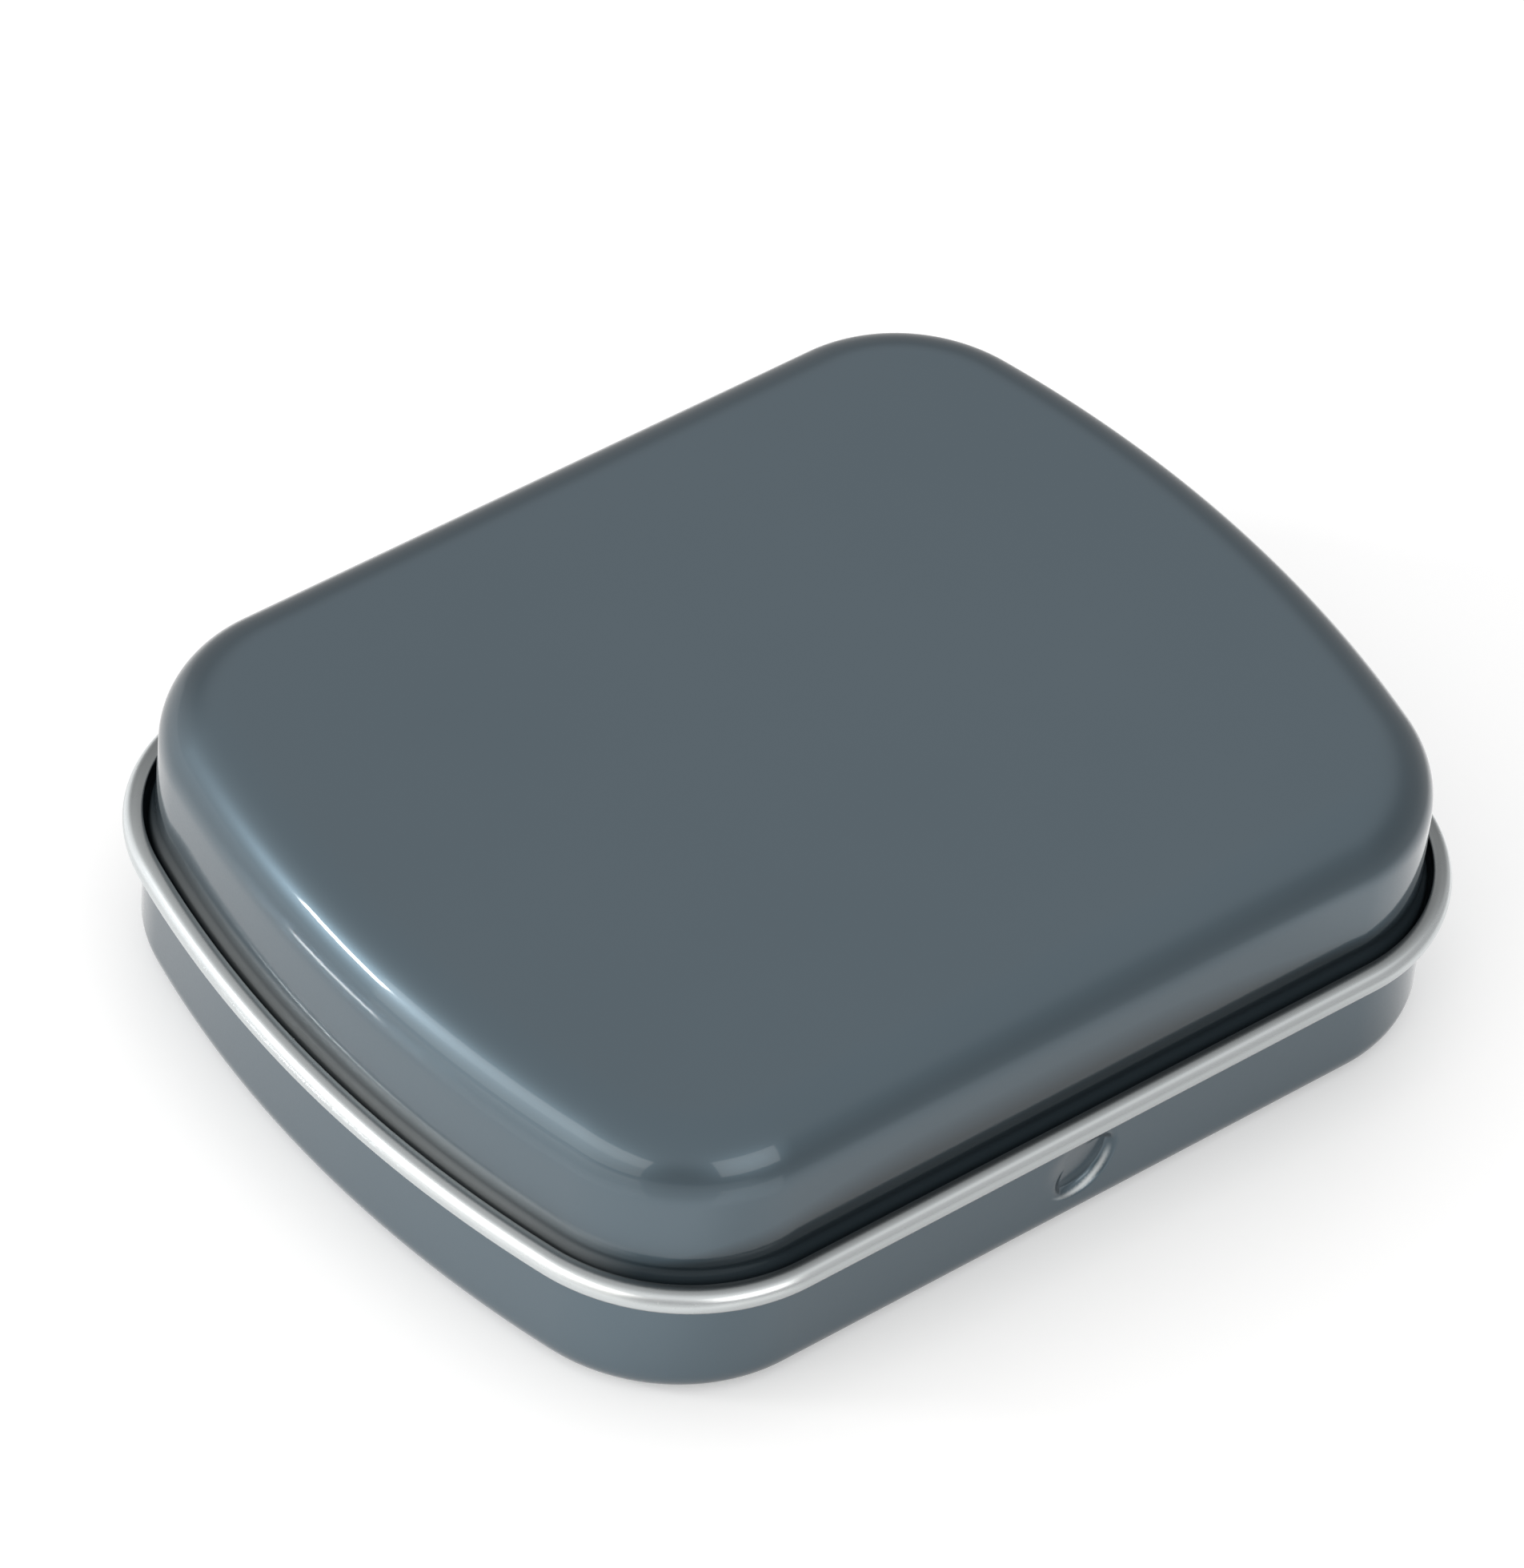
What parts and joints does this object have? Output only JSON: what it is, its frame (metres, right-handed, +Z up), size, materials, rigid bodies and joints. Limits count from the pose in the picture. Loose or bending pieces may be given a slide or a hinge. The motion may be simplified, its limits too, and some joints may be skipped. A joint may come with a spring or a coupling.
{
  "type": "hinged tin",
  "caption": "Small grey tin with bowed ends, a deep hinged lid edged by a rolled bead, a shallower base and a thumb dish in front.",
  "frame": {"origin": "middle of the plan on the surface that the tin stands on", "axes": "+X along the long side, +Y from the thumb dish in front to the hinge at the back, +Z up through the lid"},
  "size_m": [0.06, 0.0484, 0.016],
  "materials": {
    "base_paint": "slate grey satin enamel outside, bare tinplate inside and on the rolled hinge tabs",
    "lid_paint": "slate grey satin enamel outside, bare bright tinplate inside and on the rolled bead",
    "pin_steel": "bare drawn wire"
  },
  "bodies": {
    "base": {"base": "base_paint"},
    "lid": {"lid": "lid_paint", "hinge_pin": "pin_steel"}
  },
  "joints": [
    {"name": "lid_hinge", "type": "hinge", "parent": "base", "child": "lid", "pos_m": [0, 0.02345, 0.0073], "axis": [-1, 0, 0], "range_deg": [0, 110]}
  ]
}
